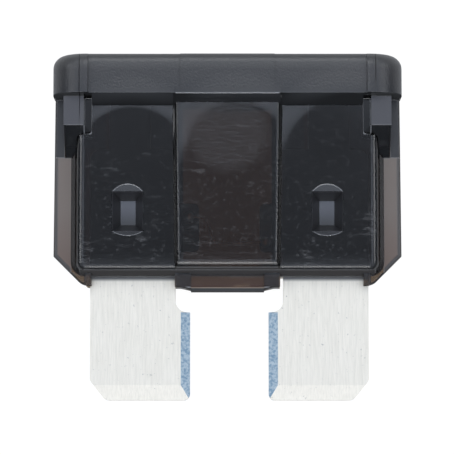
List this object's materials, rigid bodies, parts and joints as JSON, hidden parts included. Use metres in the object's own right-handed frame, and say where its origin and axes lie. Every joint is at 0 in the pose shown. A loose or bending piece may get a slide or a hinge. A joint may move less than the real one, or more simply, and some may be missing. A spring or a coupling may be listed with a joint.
{
  "type": "blade fuse",
  "caption": "Blade fuse for a vehicle's fuse box: a smoky translucent moulded housing with a wide head, over flat metal blades joined inside by a fine wire.",
  "frame": {"origin": "middle of the fuse's footprint as it lies on its back, on the surface that the head lies on", "axes": "+X across the blades to the right, +Y from the blade tips to the head, +Z out of the front face"},
  "size_m": [0.019, 0.0186, 0.0051],
  "materials": {
    "smoky_plastic": "smoky black translucent moulding, glossy walls and a finely textured head",
    "terminal_metal": "bright rolled strip with fine lengthwise marks",
    "wire_metal": "drawn wire",
    "solder": "satin"
  },
  "bodies": {
    "root": {"housing": "smoky_plastic", "left_terminal": "terminal_metal", "right_terminal": "terminal_metal", "fuse_wire": "wire_metal", "left_solder": "solder", "right_solder": "solder"}
  },
  "joints": []
}
